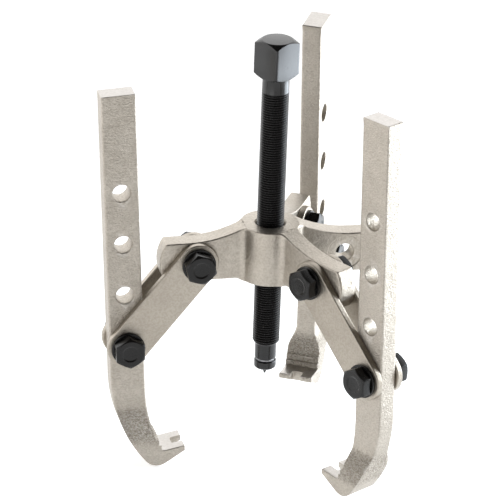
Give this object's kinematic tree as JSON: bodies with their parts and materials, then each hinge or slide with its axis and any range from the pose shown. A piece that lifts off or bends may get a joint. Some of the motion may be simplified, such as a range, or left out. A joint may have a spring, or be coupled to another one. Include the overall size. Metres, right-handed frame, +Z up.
{
  "type": "gear puller",
  "caption": "Gear puller: forcing screw through a four-armed yoke, with hooked jaws hung on pairs of pivoting straps by bolts.",
  "frame": {"origin": "tip of the forcing screw's point, on the screw's axis", "axes": "+Z up along the screw to its square head; the spare arm points along +X and the left jaw's arm along -X, with the other two jaws 60 degrees either side of +X"},
  "size_m": [0.1716, 0.1953, 0.2659],
  "materials": {
    "nickel_plate": "satin nickel plate over forged steel, fine orange-peel grain",
    "black_oxide": "black oxide, semi-gloss, oiled",
    "spring_steel": "plain spring steel"
  },
  "bodies": {
    "yoke": {"yoke": "nickel_plate"},
    "swivel_tip": {"swivel_tip": "black_oxide"},
    "screw": {"forcing_screw": "black_oxide", "tip_retaining_ring": "spring_steel"},
    "links_left": {"strap_left_head_side": "nickel_plate", "strap_left_nut_side": "nickel_plate", "arm_bolt_left": "black_oxide", "jaw_bolt_left": "black_oxide", "arm_washer_left": "black_oxide", "jaw_washer_left": "black_oxide", "arm_nut_left": "black_oxide", "jaw_nut_left": "black_oxide"},
    "jaw_left": {"jaw_left": "nickel_plate"},
    "links_front": {"strap_front_head_side": "nickel_plate", "strap_front_nut_side": "nickel_plate", "arm_bolt_front": "black_oxide", "jaw_bolt_front": "black_oxide", "arm_washer_front": "black_oxide", "jaw_washer_front": "black_oxide", "arm_nut_front": "black_oxide", "jaw_nut_front": "black_oxide"},
    "jaw_front": {"jaw_front": "nickel_plate"},
    "links_rear": {"strap_rear_head_side": "nickel_plate", "strap_rear_nut_side": "nickel_plate", "arm_bolt_rear": "black_oxide", "jaw_bolt_rear": "black_oxide", "arm_washer_rear": "black_oxide", "jaw_washer_rear": "black_oxide", "arm_nut_rear": "black_oxide", "jaw_nut_rear": "black_oxide"},
    "jaw_rear": {"jaw_rear": "nickel_plate"}
  },
  "joints": [
    {"name": "screw_travel", "type": "slide", "parent": "yoke", "child": "swivel_tip", "axis": [0, 0, 1], "range_m": [-0.0831, 0.0401]},
    {"name": "screw_turn", "type": "hinge", "parent": "swivel_tip", "child": "screw", "pos_m": [0, 0, 0.1], "axis": [0, 0, 1], "range_deg": [-19950, 9630]},
    {"name": "strap_swing_left", "type": "hinge", "parent": "yoke", "child": "links_left", "pos_m": [-0.0445, 0, 0.0787], "axis": [0, -1, 0], "range_deg": [-27, 8]},
    {"name": "jaw_tilt_left", "type": "hinge", "parent": "links_left", "child": "jaw_left", "pos_m": [-0.08552, 0, 0.0275], "axis": [0, -1, 0], "range_deg": [-6, 25]},
    {"name": "strap_swing_front", "type": "hinge", "parent": "yoke", "child": "links_front", "pos_m": [0.02225, -0.03854, 0.0787], "axis": [0.866, 0.5, 0], "range_deg": [-18.5, 16.5]},
    {"name": "jaw_tilt_front", "type": "hinge", "parent": "links_front", "child": "jaw_front", "pos_m": [0.04628, -0.08016, 0.03404], "axis": [0.866, 0.5, 0], "range_deg": [-9.5, 21]},
    {"name": "strap_swing_rear", "type": "hinge", "parent": "yoke", "child": "links_rear", "pos_m": [0.02225, 0.03854, 0.0787], "axis": [-0.866, 0.5, 0], "range_deg": [-15, 20]},
    {"name": "jaw_tilt_rear", "type": "hinge", "parent": "links_rear", "child": "jaw_rear", "pos_m": [0.0476, 0.08244, 0.03706], "axis": [-0.866, 0.5, 0], "range_deg": [-10.5, 20.5]}
  ],
  "couplings": [
    {"joint": "screw_turn", "follows": "screw_travel", "rad_per_m": 4188.8}
  ]
}
